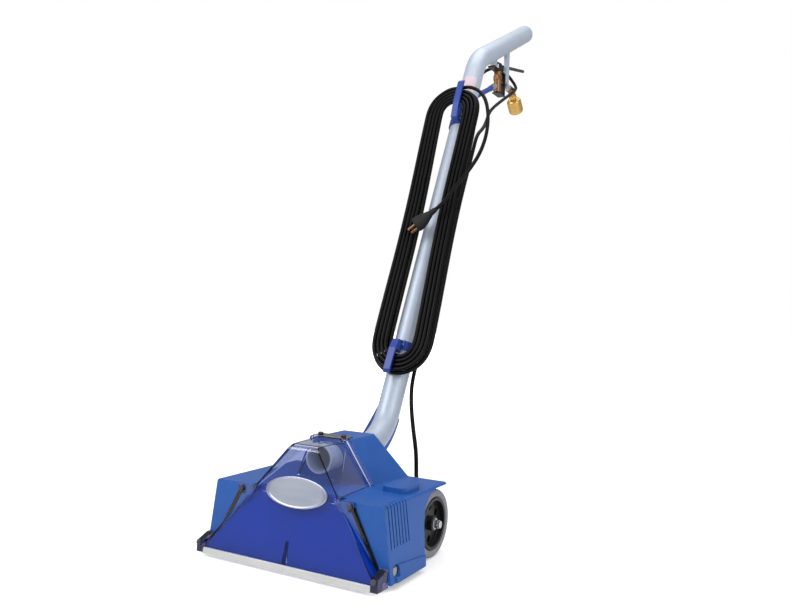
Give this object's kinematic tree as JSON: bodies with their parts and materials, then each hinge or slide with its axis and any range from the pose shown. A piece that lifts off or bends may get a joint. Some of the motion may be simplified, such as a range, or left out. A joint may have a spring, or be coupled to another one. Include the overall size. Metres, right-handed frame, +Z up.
{
  "type": "pile brush carpet groomer",
  "caption": "Powered pile brush head with a clear suction shoe, blue cover, rear wheels and a bent suction tube handle carrying a valve, hose and wound cord.",
  "frame": {"origin": "on the floor, under the middle of the machine's length and width", "axes": "+Z up, +Y from the suction lip to the rear, +X to the right seen from the front"},
  "size_m": [0.356, 1.0204, 1.1871],
  "materials": {
    "cover_blue": "moulded gloss plastic, strong blue",
    "clear_violet": "clear tinted moulding",
    "black_rubber": "matt black rubber",
    "bright_aluminium": "satin aluminium",
    "pale_badge": "bare pale plate",
    "bright_steel": "bright plated steel",
    "black_plastic": "black moulded plastic",
    "bristle": "nylon filament",
    "motor_grey": "dark painted casting",
    "frame_steel": "zinc plated sheet",
    "grey_tyre": "grey solid tyre",
    "brass": "machined brass",
    "hose_blue": "blue solution hose",
    "tube_aluminium": "satin polished aluminium",
    "hook_blue": "moulded blue hook",
    "cord_black": "black cord jacket"
  },
  "bodies": {
    "head": {"cover_shell": "cover_blue", "chute_plate": "cover_blue", "suction_shoe": "clear_violet", "shoe_gasket": "black_rubber", "suction_lip": "bright_steel", "oval_badge": "pale_badge", "shoe_bolts": "bright_steel", "brush_bearings": "bright_steel", "drive_belt": "black_rubber", "motor_body": "motor_grey", "motor_bells": "bright_aluminium", "motor_mount": "frame_steel", "base_frame": "frame_steel", "wheel_axles": "bright_steel", "axle_washers": "bright_steel", "axle_nuts": "bright_steel", "spray_bar": "brass", "spray_nozzles": "brass", "solution_line": "hose_blue", "hose_fitting": "brass", "solution_hose": "hose_blue", "outlet_ferrule": "bright_steel", "hose_clips": "bright_aluminium", "elbow_tube": "tube_aluminium", "leaning_tube": "tube_aluminium", "bend_tube": "tube_aluminium", "grip_tube": "tube_aluminium", "mouth_ring": "bright_aluminium", "tube_saddle": "cover_blue", "upper_hook": "hook_blue", "lower_hook": "hook_blue", "hook_screws": "bright_steel", "valve_tab": "bright_aluminium", "rear_strut": "bright_aluminium", "valve_frame": "black_plastic", "valve_body": "brass", "trigger_pin": "bright_steel", "inlet_elbow": "brass", "quick_connect_body": "brass", "cord_gland": "black_rubber", "power_cord_riser": "cord_black", "power_cord_hank": "cord_black", "power_cord_tail": "cord_black", "power_plug": "black_rubber", "plug_blades": "brass"},
    "brush": {"brush_core": "frame_steel", "brush_bristles": "bristle", "brush_pulley": "black_plastic"},
    "rotor": {"motor_shaft": "bright_steel", "motor_pulley": "black_plastic"},
    "right_wheel": {"right_hub": "black_plastic", "right_tyre": "grey_tyre"},
    "left_wheel": {"left_hub": "black_plastic", "left_tyre": "grey_tyre"},
    "trigger": {"trigger_lever": "bright_steel"},
    "stem": {"valve_stem": "bright_steel"},
    "release_sleeve": {"quick_connect_sleeve": "brass"}
  },
  "joints": [
    {"name": "brush_spin", "type": "hinge", "parent": "head", "child": "brush", "pos_m": [0, -0.45675, 0.0263], "axis": [1, 0, 0], "continuous": true},
    {"name": "motor_spin", "type": "hinge", "parent": "head", "child": "rotor", "pos_m": [0.1, -0.38375, 0.074], "axis": [1, 0, 0], "continuous": true},
    {"name": "right_wheel_spin", "type": "hinge", "parent": "head", "child": "right_wheel", "pos_m": [0.143, -0.29575, 0.057], "axis": [1, 0, 0], "continuous": true},
    {"name": "left_wheel_spin", "type": "hinge", "parent": "head", "child": "left_wheel", "pos_m": [-0.143, -0.29575, 0.057], "axis": [1, 0, 0], "continuous": true},
    {"name": "trigger_pull", "type": "hinge", "parent": "head", "child": "trigger", "pos_m": [-0.006, 0.33125, 1.036], "axis": [1, 0, 0], "range_deg": [0, 8], "stiffness_Nm_per_rad": 2, "springref_deg": -5.73},
    {"name": "stem_press", "type": "slide", "parent": "head", "child": "stem", "axis": [0, 0, -1], "range_m": [0, 0.005]},
    {"name": "sleeve_release", "type": "slide", "parent": "head", "child": "release_sleeve", "axis": [0, -0.7071, 0.7071], "range_m": [0, 0.005], "stiffness_N_per_m": 800, "springref_m": -0.002}
  ],
  "couplings": [
    {"joint": "motor_spin", "follows": "brush_spin", "ratio": 1.1667},
    {"joint": "stem_press", "follows": "trigger_pull", "m_per_rad": 0.0272}
  ]
}
